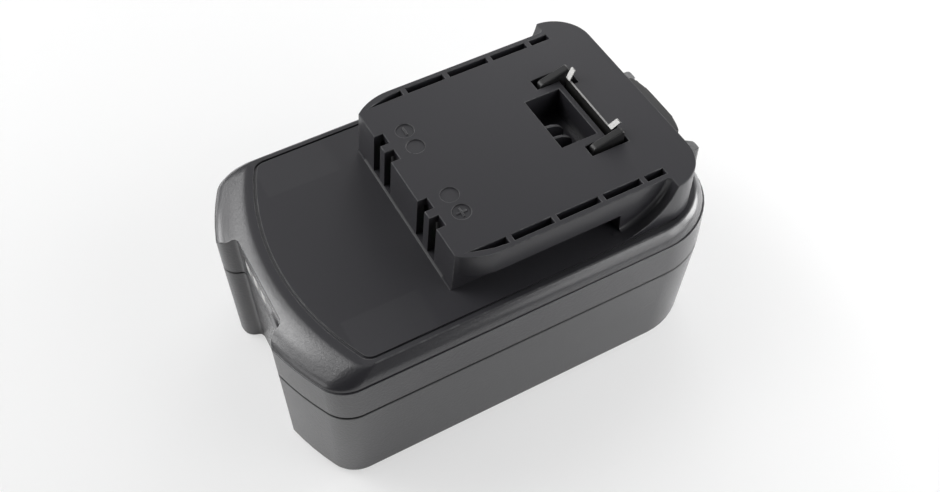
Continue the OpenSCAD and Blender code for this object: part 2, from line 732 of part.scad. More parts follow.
module gauge_leds() {
  r = 0.8;
  color([0.9, 0.85, 0.5]) for (y = light_y)
    block(board_x - 0.75, board_x - seam, y - r, y + r, gauge_mid - r, gauge_mid + r);
}

module gauge_switch() {
  color([0.7, 0.7, 0.72]) union() {
    block(board_x - 0.7, board_x - seam, test_y - 2, test_y + 2, gauge_mid - 2, gauge_mid + 2);
    translate([flange_x + 0.45 + test_travel + gap, test_y, gauge_mid]) rotate([0, 90, 0])
      cylinder(r = 0.9, h = board_x - 0.2 - (flange_x + 0.45 + test_travel + gap));
  }
}

// Thin tray on the cell frames with posts for the board and seats for the springs.
module board_carrier() {
  x1 = spring_x + 3;
  r = spring_d / 2 - spring_wire - 0.4;
  color([0.3, 0.3, 0.28]) difference() {
    union() {
      block(carrier_x0, x1, -carrier_y, carrier_y, carrier_z0, carrier_z1);
      for (x = [wing_x, x1 - 6]) block(x, x + 6, -wing_y, wing_y, carrier_z0, carrier_z1);
      for (p = post_pos) translate([p[0], p[1], carrier_z0])
        cylinder(r = 2.4, h = board_z0 - carrier_z0 - fit);
      for (s = [-1, 1]) translate([spring_x, s * spring_y, carrier_z0]) cylinder(r = r, h = 2.6);
      both_sides() block(carrier_x0, x1, carrier_y - 1.2, carrier_y, carrier_z0, carrier_z1 + 1.4);
    }
    for (p = post_pos) translate([p[0], p[1], carrier_z0 - 1]) cylinder(r = 0.95, h = 8);
    block(peg_x - 3, x1 + 1, -tongue_y - 0.9, tongue_y + 0.9, carrier_z0 - 1, carrier_z1 + 3);
    for (y = [lead_y - lead_w - 1, -lead_y - 1])
      block(lead_end(y) - 1.4, lead_end(y) + 1.4, y, y + lead_w + 2, carrier_z0 - 1, carrier_z1 + 1);
    block(ribbon_end - 1.4, ribbon_end + 1.4, -ribbon_w / 2 - 1, ribbon_w / 2 + 1,
      carrier_z0 - 1, carrier_z1 + 1);
    translate([sensor_x, 0, carrier_z0 - 1]) cylinder(r = 1.8, h = 3);
  }
}

module control_board() {
  color([0.08, 0.32, 0.18]) difference() {
    block(carrier_x0 + 0.3, board_x1, -carrier_y + 1.4, carrier_y - 1.4, board_z0, board_z1);
    for (p = post_pos) translate([p[0], p[1], board_z0 - 1]) cylinder(r = 1.25, h = 5);
  }
}

module board_screws() {
  color([0.7, 0.7, 0.72]) for (p = post_pos) translate([p[0], p[1], 0]) difference() {
    union() {
      translate([0, 0, board_z1 + fit]) cylinder(r = 2, h = 1.3);
      translate([0, 0, carrier_z1]) cylinder(r = 0.9, h = board_z1 - carrier_z1 + 0.5);
    }
    translate([0, 0, board_z1 + 0.6]) cylinder(r = 0.9, h = 2, $fn = 6);
  }
}

module terminal_block() {
  color([0.15, 0.15, 0.16]) difference() {
    block(block_x0, block_x1, -block_y, block_y, board_z1 + fit, block_z1);
    for (y = [-contact_out, -contact_in, contact_in, contact_out]) {
      block(block_x0 - 1, block_x1 - 1.4, y - blade_w / 2, y + blade_w / 2, board_z1 - 1, block_z1 + 1);
    }
  }
}

// Fork of two springy leaves that meet a blade pushed in from the front, with a foot on the board.
module terminal(y) {
  x0 = block_x0 + 0.6;
  x1 = block_x1 - 1.6;
  z0 = board_z1 + 0.5;
  z1 = block_z1 - 0.8;
  color([0.85, 0.62, 0.3]) translate([0, y, 0]) union() {
    for (s = [0, 1]) mirror([0, s, 0]) block(x0, x1, leaf_y0, leaf_y1, z0, z1);
    block(x1 - 0.8, x1, -leaf_y1, leaf_y1, z0, z1);
    block(x0 + 0.4, x1, -leaf_y1, leaf_y1, board_z1 + fit, z0 + 0.1);
  }
}

module power_transistors() {
  x0 = block_x1 + 5.1;
  w = 6.6;
  color([0.1, 0.1, 0.1]) for (y = [-14, -4.5, 5]) union() {
    block(x0, x0 + 6.2, y, y + w, board_z1 + seam, board_z1 + 2.3);
    block(x0 + 6.2, x0 + 7.6, y, y + w, board_z1 + seam, board_z1 + 1);
  }
}

module control_chip() {
  x0 = block_x1 + 14.1;
  color([0.12, 0.12, 0.12]) block(x0, x0 + 5, -4, 4, board_z1 + seam, board_z1 + 1.2);
}

module shunt_resistor() {
  x0 = block_x1 + 4.1;
  color([0.6, 0.55, 0.45]) block(x0, x0 + 6.4, 13.6, 16.8, board_z1 + seam, board_z1 + 0.9);
}

module capacitors() {
  x0 = block_x1 + 15.1;
  color([0.7, 0.6, 0.4]) for (y = [-11.5, -8, 7, 10.5])
    block(x0, x0 + 3.2, y, y + 1.6, board_z1 + seam, board_z1 + 1.4);
}

// Bead on two legs that hangs between the upper cells under the board.
module temperature_sensor() {
  z0 = cell_z0 + layer_pitch + 7;
  color([0.2, 0.2, 0.22]) translate([sensor_x, 0, z0]) union() {
    sphere(r = 1.3);
    cylinder(r = 0.4, h = board_z0 - z0 - fit);
  }
}

function cell_at(i) = [cell_x0 + cell_pitch * (i % 5), 0, cell_z0 + layer_pitch * floor(i / 5)];
function cell_sign(i) = (i % 5) % 2 == 0 ? 1 : -1;

// Can with a crimp groove below the positive cap.
module cell(i) {
  h = cell_len / 2;
  color([0.72, 0.72, 0.74]) translate(cell_at(i)) rotate([-90 * cell_sign(i), 0, 0]) rotate_extrude()
    polygon([[0, -h], [cell_r - 0.4, -h], [cell_r, -h + 0.4], [cell_r, h - 5.2], [cell_r - 0.7, h - 4.7],
      [cell_r - 0.7, h - 4.1], [cell_r, h - 3.6], [cell_r, h - 1.0],
      [cell_r - 0.6, h - 0.6], [cap_r + 0.2, h - 0.6],
      [cap_r, h], [0, h]]);
}

module cell_sleeves() {
  color([0.2, 0.45, 0.7]) for (i = [0 : 9])
    translate(cell_at(i)) rotate([-90 * cell_sign(i), 0, 0]) difference() {
    translate([0, 0, -cell_len / 2 + 0.6]) cylinder(r = sleeve_r, h = cell_len - 2);
    translate([0, 0, -cell_len]) cylinder(r = cell_r + seam, h = 2 * cell_len);
  }
}

module cell_insulator_rings() {
  color([0.85, 0.85, 0.8]) for (i = [0 : 9]) translate(cell_at(i)) rotate([-90 * cell_sign(i), 0, 0])
    translate([0, 0, cell_len / 2 - 0.6 + seam]) difference() {
      cylinder(r = cell_r - 0.7, h = 0.4);
      translate([0, 0, -1]) cylinder(r = cap_r + 0.35, h = 3);
    }
}

// End frame of the cells, its corners trimmed to the inside of the case.
module cell_frame() {
  room = 0.3;
  z1 = cavity_top - 0.4;
  color([0.2, 0.2, 0.21]) difference() {
    intersection() {
      block(frame_x0, frame_x1, frame_y0, frame_y1, wall + fit, frame_top);
      union() {
        prism(base_ring(wall + room), 0, z1);
        prism(crease_ring(crease_skin + room), z1 - 0.5, deck_z);
      }
    }
    for (i = [0 : 9]) translate(cell_at(i)) rotate([-90, 0, 0]) cylinder(r = sleeve_r + fit, h = cell_len);
    for (x = [lead_x0, lead_x1])
      block(x - 0.3, x + lead_w + 0.3, frame_y0 - 1, frame_y1 + 1, lead_z - 0.1, frame_top + 1);
  }
}

// Strip over one or two columns on one side.
module bus_strip(side, c0, c1) {
  w = 4;
  x0 = cell_at(c0)[0] - w;
  x1 = cell_at(c1)[0] + w;
  ya = side * (frame_y1 + fit + strip_t / 2) - strip_t / 2;
  yb = ya + strip_t;
  z1 = cell_z0 + layer_pitch;
  color([0.78, 0.78, 0.74]) union() {
    for (c = [c0, c1]) block(cell_at(c)[0] - w, cell_at(c)[0] + w, ya, yb, cell_z0 - w, z1 + w);
    block(x0, x1, ya, yb, cell_z0 + w + 1, z1 - w - 1);
    block(x0 + 1, x0 + w, ya, yb, z1 + w - 1, lead_z - seam);
  }
}

module insulator_sheet(side) {
  y0 = frame_y1 + fit * 2 + strip_t;
  color([0.85, 0.82, 0.7]) mirror([0, side < 0 ? 1 : 0, 0])
    block(frame_x0 + 3, frame_x1 - 3, y0, y0 + 0.3, wall + 2, cavity_top - 0.4);
}

module foam_pads() {
  y = 12;
  w = 10;
  color([0.25, 0.25, 0.25]) for (s = [-1, 1])
    block(frame_x0 + 2, frame_x1 - 2, s * y - w / 2, s * y + w / 2, wall + fit, wall + 0.55);
}

// Flat lead from a bus strip over the cells to the underside of the control board.
module lead(side, x) {
  x_end = lead_end(side);
  ya = min(side * lead_y, side * (lead_y - lead_w));
  yb = ya + lead_w;
  ym = min(side * lead_y, side * (frame_y1 + strip_t));
  color([0.85, 0.7, 0.4]) union() {
    block(x, x + lead_w, ym, ym + frame_y1 + strip_t - lead_y, lead_z, lead_z + lead_t);
    block(min(x, x_end), max(x + lead_w, x_end), ya, yb, lead_z, lead_z + lead_t);
    block(x_end - lead_t, x_end, ya, yb, lead_z, board_z0 - fit);
  }
}

// Flat ribbon from the gauge board to the control board.
module gauge_ribbon() {
  x0 = board_x + 1.2 + fit;
  w = ribbon_w / 2;
  t = 0.2;
  color([0.75, 0.72, 0.6]) union() {
    block(x0, x0 + t, -w, w, gauge_mid, lead_z + t);
    block(x0, ribbon_end, -w, w, lead_z, lead_z + t);
    block(ribbon_end - t, ribbon_end, -w, w, lead_z, board_z0 - fit);
  }
}

top_case();
bottom_case();
housing_screws();
latch_slider();
latch_steel_insert();
release_button();
latch_springs();
gauge_lens();
gauge_light_pipes();
gauge_button();
gauge_board();
gauge_leds();
gauge_switch();
board_carrier();
control_board();
terminal_block();
terminal(contact_out);  // terminal_negative
terminal(contact_in);  // terminal_sense_1
terminal(-contact_in);  // terminal_sense_2
terminal(-contact_out);  // terminal_positive
power_transistors();
control_chip();
shunt_resistor();
capacitors();
board_screws();
temperature_sensor();
for (i = [0 : 9]) cell(i);
cell_sleeves();
cell_insulator_rings();
cell_frame();  // cell_frame_right
mirror([0, 1, 0]) cell_frame();  // cell_frame_left
bus_strip(-1, 0, 0);  // bus_strip_1
bus_strip(1, 0, 1);  // bus_strip_2
bus_strip(-1, 1, 2);  // bus_strip_3
bus_strip(1, 2, 3);  // bus_strip_4
bus_strip(-1, 3, 4);  // bus_strip_5
bus_strip(1, 4, 4);  // bus_strip_6
insulator_sheet(-1);  // insulator_sheet_left
insulator_sheet(1);  // insulator_sheet_right
foam_pads();
lead(1, lead_x1);  // lead_positive
lead(-1, lead_x0);  // lead_negative
gauge_ribbon();
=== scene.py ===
from math import cos, pi, radians, sin

import bmesh
import bpy
import numpy as np
from mathutils import Euler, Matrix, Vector
from mathutils.bvhtree import BVHTree


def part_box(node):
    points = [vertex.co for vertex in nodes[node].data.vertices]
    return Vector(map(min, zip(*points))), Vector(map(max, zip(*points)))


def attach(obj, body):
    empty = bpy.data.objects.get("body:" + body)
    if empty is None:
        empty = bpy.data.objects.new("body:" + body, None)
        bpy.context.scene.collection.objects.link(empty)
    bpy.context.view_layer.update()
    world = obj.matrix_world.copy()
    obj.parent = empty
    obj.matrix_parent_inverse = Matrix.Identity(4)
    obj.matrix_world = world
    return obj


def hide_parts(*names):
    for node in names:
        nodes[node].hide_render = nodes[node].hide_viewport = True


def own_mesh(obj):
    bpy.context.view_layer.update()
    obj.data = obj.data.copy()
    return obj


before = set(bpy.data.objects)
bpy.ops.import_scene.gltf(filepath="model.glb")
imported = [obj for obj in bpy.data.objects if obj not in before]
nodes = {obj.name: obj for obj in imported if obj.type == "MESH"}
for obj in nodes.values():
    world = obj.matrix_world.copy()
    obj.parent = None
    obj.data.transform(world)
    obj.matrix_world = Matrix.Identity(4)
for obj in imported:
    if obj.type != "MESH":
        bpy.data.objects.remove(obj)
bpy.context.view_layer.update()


# Studio: a pale paper floor in a white room, with soft round lamps near the pack on three sides.
# The camera stands before the gauge end of the pack, on its -Y side, and looks down. No lamp stands beside it.

class Wire:
    """One output socket of a node tree. Arithmetic on wires adds Math nodes to that tree."""

    def __init__(self, tree, socket):
        self.tree = tree
        self.socket = socket

    def node(self, kind, settings=None, sockets=None, out=0):
        """Adds a node, sets its settings and then its sockets, and returns one of its outputs."""
        made = self.tree.nodes.new(kind)
        for key, value in (settings or {}).items():
            if key == "stops":
                ramp = made.color_ramp.elements
                while len(ramp) < len(value):
                    ramp.new(0.5)
                for stop, (place, shade) in zip(ramp, value):
                    stop.position = place
                    stop.color = (*shade, 1.0) if len(shade) == 3 else shade
            else:
                setattr(made, key, value)
        for key, value in (sockets or {}).items():
            if isinstance(value, Wire):
                self.tree.links.new(value.socket, made.inputs[key])
            else:
                made.inputs[key].default_value = value
        return Wire(self.tree, made.outputs[out])

    def math(self, operation, *others):
        return self.node("ShaderNodeMath", {"operation": operation}, dict(enumerate((self, *others))))

    def __add__(self, other):
        return self.math("ADD", other)

    __radd__ = __add__

    def __mul__(self, other):
        return self.math("MULTIPLY", other)

    __rmul__ = __mul__

    def __sub__(self, other):
        return self.math("SUBTRACT", other)

    def __rsub__(self, other):
        return self.node("ShaderNodeMath", {"operation": "SUBTRACT"}, {0: other, 1: self})

    def __truediv__(self, other):
        return self.math("DIVIDE", other)

    def rise(self, low, high):
        """0 below low, 1 above high, and a smooth step between them."""
        return self.node("ShaderNodeMapRange", {"interpolation_type": "SMOOTHSTEP"},
                         {"Value": self, "From Min": low, "From Max": high})

    def band(self, middle, half, soft):
        """1 within half of the middle, falling to 0 over soft beyond it."""
        return 1 - abs(self - middle).rise(half, half + soft)

    def __abs__(self):
        return self.math("ABSOLUTE")

    def noise(self, size, detail=2.0, rough=0.5):
        """Noise with lumps of that size in metres; its mean is one half."""
        return self.node("ShaderNodeTexNoise", {},
                         {"Vector": self, "Scale": 1 / size, "Detail": detail, "Roughness": rough})

    def parts(self):
        """The x, y and z of a vector."""
        first = self.node("ShaderNodeSeparateXYZ", {}, {"Vector": self})
        return [Wire(self.tree, o) for o in first.socket.node.outputs]

    def blend(self, dark, light):
        """A colour between dark, where this is 0, and light, where it is 1."""
        made = self.tree.nodes.new("ShaderNodeMix")
        made.data_type = "RGBA"
        for place, value in ((0, self), (6, dark), (7, light)):
            if isinstance(value, Wire):
                self.tree.links.new(value.socket, made.inputs[place])
            else:
                made.inputs[place].default_value = (*value, 1.0) if place else value
        return Wire(self.tree, made.outputs[2])

    def bump(self, height, over=None):
        """A normal for this height, given in units of that many metres, laid over another normal."""
        below = {"Normal": over} if over else {}
        return self.node("ShaderNodeBump", {}, {"Height": self, "Distance": height, "Strength": 1.0, **below})


def new_finish(name):
    """A new material, with its shader and the wire of its Object coordinates."""
    made = bpy.data.materials.new(name)
    made.use_nodes = True
    tree = made.node_tree
    place = tree.nodes.new("ShaderNodeTexCoord").outputs["Object"]
    return made, tree.nodes["Principled BSDF"], Wire(tree, place)


def paint(shader, values):
    """Sets the shader's sockets, each to a number or colour or to a wire."""
    for key, value in values.items():
        socket = shader.inputs[key]
        if isinstance(value, Wire):
            value.tree.links.new(value.socket, socket)
        elif socket.type == "RGBA":
            socket.default_value = (*value, 1.0)
        else:
            socket.default_value = value


floor_half = 2.5
floor_mesh = bpy.data.meshes.new("floor")
floor_mesh.from_pydata([(-floor_half, -floor_half, 0), (floor_half, -floor_half, 0),
                        (floor_half, floor_half, 0), (-floor_half, floor_half, 0)], [], [(0, 1, 2, 3)])
floor = bpy.data.objects.new("floor", floor_mesh)
bpy.context.scene.collection.objects.link(floor)
floor.location.z = -0.0002
floor_paint, floor_shader, floor_at = new_finish("floor_paper")
floor_tone = floor_at.noise(0.4).blend((0.86, 0.86, 0.86), (0.9, 0.9, 0.9))
paint(floor_shader, {"Base Color": floor_tone, "Roughness": 0.9})
floor_ray = floor_paint.node_tree.nodes.new("ShaderNodeLightPath").outputs
floor_seen, floor_shine, floor_through = [Wire(floor_paint.node_tree, floor_ray["Is %s Ray" % kind])
                                          for kind in ("Camera", "Glossy", "Transmission")]
floor_reach = floor_at.node("ShaderNodeVectorMath", {"operation": "LENGTH"}, {0: floor_at}, "Value")
floor_far = floor_reach.rise(0.2, 0.7)
floor_mirrored = 0.15 * floor_shine.math("MAXIMUM", floor_through)
floor_share = ((0.55 + 0.4 * floor_far) * floor_seen).math("MAXIMUM", floor_mirrored)
floor_white = floor_at.node("ShaderNodeEmission", {}, {"Color": (1, 1, 1, 1), "Strength": 0.95})
floor_lit = Wire(floor_paint.node_tree, floor_shader.outputs[0])
floor_out = floor_at.node("ShaderNodeMixShader", {}, {0: floor_share, 1: floor_lit, 2: floor_white})
floor_end = floor_paint.node_tree.nodes["Material Output"]
floor_paint.node_tree.links.new(floor_out.socket, floor_end.inputs["Surface"])
floor_mesh.materials.append(floor_paint)

room = bpy.data.worlds.new("room")
bpy.context.scene.world = room
room.use_nodes = True
room_tree = room.node_tree
room_light = room_tree.nodes["Background"]
room_white = Wire(room_tree, room_tree.nodes.new("ShaderNodeLightPath").outputs["Is Camera Ray"])
room_light.inputs["Color"].default_value = (1, 1, 1, 1)
room_glow = 0.05 + 0.88 * room_white
room_tree.links.new(room_glow.socket, room_light.inputs["Strength"])

# Soft lamps: azimuth and elevation in degrees, distance and width in metres, and brightness.
soft_lamps = [(222, 12, 0.60, 0.20, 5.3), (205, 20, 0.60, 0.20, 1.6), (240, 30, 0.60, 0.20, 4.9),
              (222, 35, 0.60, 0.20, 3.6), (200, 36, 0.60, 0.16, 2.8), (212, 45, 0.60, 0.16, 1.6),
              (226, 51, 0.60, 0.16, 5.2), (215, 55, 0.60, 0.35, 1.8), (250, 45, 0.60, 0.30, 1.7),
              (270, 18, 0.50, 0.25, 1.7), (30, 14, 0.50, 0.25, 2.2), (40, 35, 0.50, 0.25, 2.7),
              (50, 14, 0.35, 0.16, 3.0), (75, 14, 0.30, 0.16, 8.7), (130, 30, 0.50, 0.30, 2.1),
              (150, 14, 0.50, 0.25, 4.9), (160, 45, 0.60, 0.30, 0.6)]
lamp_aim = Vector((0, 0, 0.03))
for azimuth, elevation, distance, width, brightness in soft_lamps:
    turn, tilt = radians(azimuth), radians(elevation)
    lamp_way = Vector((sin(turn) * cos(tilt), -cos(turn) * cos(tilt), sin(tilt)))
    lamp_data = bpy.data.lights.new("soft_lamp", "AREA")
    lamp_data.shape = "DISK"
    lamp_data.size = width
    lamp_data.energy = brightness * (pi * width / 2) ** 2
    lamp = bpy.data.objects.new("soft_lamp", lamp_data)
    lamp.location = lamp_way * distance + lamp_aim
    lamp.rotation_euler = lamp_way.to_track_quat("Z", "Y").to_euler()
    lamp.visible_camera = False
    bpy.context.scene.collection.objects.link(lamp)

# The photograph's width and the camera's focal length, both in pixels.
photo_width, focal_length = 940, 1125.39
camera_data = bpy.data.cameras.new("camera")
camera_data.sensor_width = 36
camera_data.lens = camera_data.sensor_width * focal_length / photo_width
camera = bpy.data.objects.new("camera", camera_data)
camera.location = (-0.0836409, -0.1645035, 0.2581194)
camera.rotation_euler = Euler([radians(a) for a in (37.89479, 0.64078, -28.51322)], "XYZ")
bpy.context.scene.collection.objects.link(camera)
bpy.context.scene.camera = camera
bpy.context.scene.view_settings.view_transform = "Standard"


# Cells: ten round steel cells in two layers of five, lying across the pack with their poles in turn.
# The cans are nickel-plated drawn steel, each in a shrunk film sleeve with a paper ring under its button.

def clothe(finish, *names):
    """Gives CAD nodes a finish; their shape stays."""
    for name in names:
        nodes[name].data.materials.clear()
        nodes[name].data.materials.append(finish)


def plated(name, colour, rough, scratch=(1, 1, 1)):
    """Bright metal with fine scratches along one axis and cloudy roughness."""
    finish, shader, at = new_finish(name)
    drawn = at.node("ShaderNodeMapping", {}, {"Vector": at, "Scale": scratch}).noise(0.0002, 3.0)
    cloud = at.noise(0.004, 3.0)
    paint(shader, {
        "Base Color": cloud.blend([0.86 * c for c in colour], colour),
        "Metallic": 1.0,
        "Roughness": rough + 0.12 * (drawn - 0.5) + 0.1 * (cloud - 0.5),
        "Normal": drawn.bump(0.000004),
    })
    return finish


def sheet_stock(name, colour, size, rough, depth, stretch=(1, 1, 1)):
    """Film, paper, foam or rubber: a mottled colour and bumps of that size, drawn out by stretch."""
    finish, shader, at = new_finish(name)
    lumps = at.node("ShaderNodeMapping", {}, {"Vector": at, "Scale": stretch}).noise(size, 3.0, 0.6)
    cloud = at.noise(0.01, 2.0)
    mottle = 0.6 * lumps + 0.4 * cloud
    paint(shader, {
        "Base Color": mottle.blend([0.75 * c for c in colour], [min(1.2 * c, 1) for c in colour]),
        "Roughness": rough + 0.2 * (lumps - 0.5),
        "Normal": lumps.bump(depth),
    })
    return finish


cell_names = ["cell_%d" % i for i in range(1, 11)]
clothe(plated("cell_can", (0.60, 0.59, 0.56), 0.3, (1, 0.08, 1)), *cell_names)
clothe(sheet_stock("sleeve_film", (0.05, 0.17, 0.42), 0.004, 0.32, 0.00006, (1, 0.2, 1)), "cell_sleeves")
clothe(sheet_stock("insulator_paper", (0.62, 0.62, 0.58), 0.0006, 0.85, 0.00004), "cell_insulator_rings")


# Cell frames, strips and pads: two moulded frames hold the cells apart, and nickel strips spot-welded to
# the poles join them in pairs. Fibre sheets and foam pads keep them from the case.

def moulded(name, colour, rough, grain=0.00022, depth=0.000008):
    """Moulded plastic: a colour that clouds a little, a fine spark grain, and edges rubbed lighter and
    smoother. The edges are where the piece's attribute "rim" is 1."""
    finish, shader, at = new_finish(name)
    rim = at.node("ShaderNodeAttribute", {"attribute_name": "rim"}, {}, "Fac")
    cloud = at.noise(0.012, 3.0)
    fine = at.noise(grain, 2.0, 0.6)
    worn = rim * (0.35 + 0.65 * at.noise(0.003).rise(0.45, 0.7))
    tone = cloud.blend([0.9 * c for c in colour], [1.1 * c for c in colour])
    paint(shader, {
        "Base Color": (worn * 0.4).blend(tone, [1.6 * c + 0.006 for c in colour]),
        "Roughness": rough + 0.06 * (cloud - 0.5) + 0.16 * (fine - 0.5) - 0.05 * worn,
        "Normal": fine.bump(depth),
    })
    return finish


strip_nickel = plated("strip_nickel", (0.66, 0.63, 0.57), 0.3, (0.1, 1, 1))
frame_plastic = moulded("frame_plastic", (0.05, 0.05, 0.052), 0.5)
clothe(frame_plastic, "cell_frame_left", "cell_frame_right")
clothe(strip_nickel, *["bus_strip_%d" % i for i in range(1, 7)])
fibre_sheet = sheet_stock("fibre_sheet", (0.18, 0.19, 0.2), 0.0008, 0.8, 0.00003)
clothe(fibre_sheet, "insulator_sheet_left", "insulator_sheet_right")
clothe(sheet_stock("pad_foam", (0.06, 0.06, 0.065), 0.0009, 0.95, 0.0002), "foam_pads")


# Control board: a moulded carrier over the cells holds the board with its transistors, chip, shunt and
# capacitors. The laminate is green glass-epoxy with copper tracks under the solder mask. Brass leads rise to it
# from the end strips.

def laminate(name):
    """Circuit laminate: green mask over a grid of tracks, with bright pads where two tracks cross.
    The tracks are the crests of two sine waves, whose rate is in radians per metre."""
    finish, shader, at = new_finish(name)
    x, y = at.parts()[:2]
    track_rate = 420
    run = (x * track_rate + at.noise(0.006) * 2).math("SINE").rise(0.55, 0.75)
    cross = (y * track_rate + at.noise(0.005) * 2).math("SINE").rise(0.6, 0.8)
    track = run.math("MAXIMUM", cross)
    tone = track.blend((0.006, 0.07, 0.025), (0.012, 0.13, 0.045))
    pad = run * cross
    paint(shader, {
        "Base Color": pad.blend(tone, (0.55, 0.45, 0.25)),
        "Metallic": pad * 0.9,
        "Roughness": 0.34 + 0.1 * at.noise(0.002) + 0.1 * track,
        "Normal": track.bump(0.00003),
    })
    return finish


board_laminate = laminate("board_laminate")
chip_plastic = moulded("chip_plastic", (0.014, 0.014, 0.015), 0.5, 0.0001)
clothe(frame_plastic, "board_carrier")
clothe(board_laminate, "control_board", "gauge_board")
clothe(chip_plastic, "power_transistors", "control_chip", "temperature_sensor", "gauge_switch")
clothe(plated("shunt_metal", (0.52, 0.48, 0.42), 0.35), "shunt_resistor")
clothe(sheet_stock("capacitor_ceramic", (0.42, 0.28, 0.16), 0.0004, 0.5, 0.00001), "capacitors")
clothe(plated("lead_brass", (0.72, 0.55, 0.27), 0.3, (0.1, 1, 1)), "lead_positive", "lead_negative")
screw_steel = plated("screw_steel", (0.42, 0.42, 0.43), 0.32)
clothe(screw_steel, "board_screws")


# Contacts: four forked terminals stand behind the slots in the front of the guide tower.
# They are bent from brass sheet, stand on the control board and sit in the slots of a moulded block.

def reaches(points, starts, ends):
    """The distance of each point to each segment from starts to ends."""
    points = np.array([tuple(p) for p in points]).reshape(-1, 1, 3)
    along = ends - starts
    share = ((points - starts) * along).sum(2) / np.maximum((along ** 2).sum(1), 1e-18)
    foot_highlight = starts + np.clip(share, 0, 1)[..., None] * along
    return np.linalg.norm(foot_highlight - points, axis=2)


def knots(face):
    """The points where the outline of a face crosses itself.
    Edges i and j, from p with the ways w, cross at p[i] + t w[i],
    where t = (p[j] - p[i]) x w[j] / (w[i] x w[j])."""
    right = face.normal.orthogonal().normalized()
    spots = np.array([tuple(v.co) for v in face.verts])
    p = spots @ np.array((right, face.normal.cross(right))).T
    w = np.roll(p, -1, 0) - p
    gap = p[None] - p[:, None]
    turn = w[:, None, 0] * w[None, :, 1] - w[:, None, 1] * w[None, :, 0]
    turn = np.where(abs(turn) < 1e-16, np.inf, turn)
    t = (gap[..., 0] * w[None, :, 1] - gap[..., 1] * w[None, :, 0]) / turn
    u = (gap[..., 0] * w[:, None, 1] - gap[..., 1] * w[:, None, 0]) / turn
    i, j = np.nonzero(np.triu((np.minimum(t, u) > 1e-6) & (np.maximum(t, u) < 1 - 1e-6), 2))
    return list(spots[i] + t[i, j, None] * (np.roll(spots, -1, 0) - spots)[i])


def dressed(node, body, finish, radius, turn=30.0, segments=3):
    """A copy of a CAD node with rounded edges, which stands for that node.
    Its triangles are merged into flat faces. Each convex edge that turns by more than `turn` degrees, and from
    which a ray along its mean normal leaves the piece, becomes an arc of that radius. Where the arcs would fold
    or cross each other, the edges stay sharp. The arcs' faces carry 1 in the attribute "rim", all others 0."""
    whole = bmesh.new()
    whole.from_mesh(nodes[node].data)
    bmesh.ops.remove_doubles(whole, verts=whole.verts, dist=2e-6)
    bmesh.ops.dissolve_limit(whole, angle_limit=radians(0.5), verts=whole.verts, edges=whole.edges)
    whole.faces.layers.float.new("rim")
    whole.normal_update()
    whole.edges.index_update()
    whole.edges.ensure_lookup_table()
    skin = BVHTree.FromBMesh(whole)

    def outer(edge):
        way = (edge.link_faces[0].normal + edge.link_faces[1].normal).normalized()
        middle = (edge.verts[0].co + edge.verts[1].co) / 2
        return skin.ray_cast(middle + way * 2e-5, way, 0.3)[0] is None

    convex = [e for e in whole.edges if e.calc_face_angle_signed() > radians(turn)]
    picked = np.array([e.index for e in convex if outer(e)])
    ends = np.array([[tuple(v.co) for v in whole.edges[i].verts] for i in picked])
    for attempt in range(24):
        work = whole.copy()
        work.edges.ensure_lookup_table()
        made = bmesh.ops.bevel(work, geom=[work.edges[i] for i in picked], offset=radius,
                               offset_type="OFFSET", segments=segments, profile=0.5, affect="EDGES",
                               clamp_overlap=False, loop_slide=True)
        work.normal_update()
        bent = [e for e in work.edges if e.calc_face_angle() > radians(140)]
        folds = [(e.verts[0].co + e.verts[1].co) / 2 for e in bent]
        folds += [v.co for v in work.verts if skin.find_nearest(v.co)[3] > 0.6 * radius]
        crossings = [knot for f in work.faces if len(f.verts) > 4 for knot in knots(f)]
        ties = reaches(crossings, ends[:, 0], ends[:, 1])
        fails = (reaches(folds, ends[:, 0], ends[:, 1]) < 1.2 * radius).any(0)
        fails |= (ties < np.maximum(1.2 * radius, 1.05 * ties.min(1, keepdims=True))).any(0)
        if not fails.any():
            break
        picked, ends = picked[~fails], ends[~fails]
        work.free()
    rim = work.faces.layers.float["rim"]
    for f in made["faces"]:
        f[rim] = 1.0
    for f in work.faces:
        f.smooth = True
    for e in work.edges:
        e.smooth = e.calc_face_angle() < radians(40)
    mesh = bpy.data.meshes.new(node + "_dressed")
    work.to_mesh(mesh)
    work.free()
    whole.free()
    piece = bpy.data.objects.new(node + "_dressed", mesh)
    bpy.context.scene.collection.objects.link(piece)
    mesh.materials.append(finish)
    weigh = piece.modifiers.new("weigh", "WEIGHTED_NORMAL")
    weigh.keep_sharp = True
    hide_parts(node)
    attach(piece, body)
    return piece


contact_brass = plated("contact_brass", (0.74, 0.57, 0.29), 0.28, (1, 1, 0.1))
for contact in ("terminal_negative", "terminal_sense_1", "terminal_sense_2", "terminal_positive"):
    dressed(contact, "case", contact_brass, 0.00008)
dressed("terminal_block", "case", frame_plastic, 0.00015)


# Gauge: a grey moulded strip in the front recess with three light windows and a soft test button,
# backed by a small board with its lights and switch, and a flat ribbon to the control board.

strip_finish, strip_shader, strip_at = new_finish("gauge_plastic")
strip_edge_shade = strip_at.node("ShaderNodeAttribute", {"attribute_name": "rim"}, {}, "Fac")
strip_tone = strip_at.noise(0.006, 2.0).blend((0.2, 0.2, 0.207), (0.25, 0.25, 0.257))
strip_grain = strip_at.noise(0.0004)
# The strip's rounded edges are painted dark, as painted shade of the gap around it.
paint(strip_shader, {"Base Color": strip_edge_shade.blend(strip_tone, (0.02, 0.02, 0.021)),
                     "Roughness": 0.3 + 0.1 * strip_grain, "Normal": strip_grain.bump(0.000004)})
dressed("gauge_lens", "case", strip_finish, 0.00012)
light_finish, light_shader, light_at = new_finish("light_plastic")
light_grain = light_at.noise(0.0003)
paint(light_shader, {"Base Color": light_at.noise(0.002).blend((0.6, 0.6, 0.595), (0.7, 0.7, 0.69)),
                     "Roughness": 0.35 + 0.15 * light_grain, "Normal": light_grain.bump(0.000006)})
dressed("gauge_light_pipes", "case", light_finish, 0.00012)
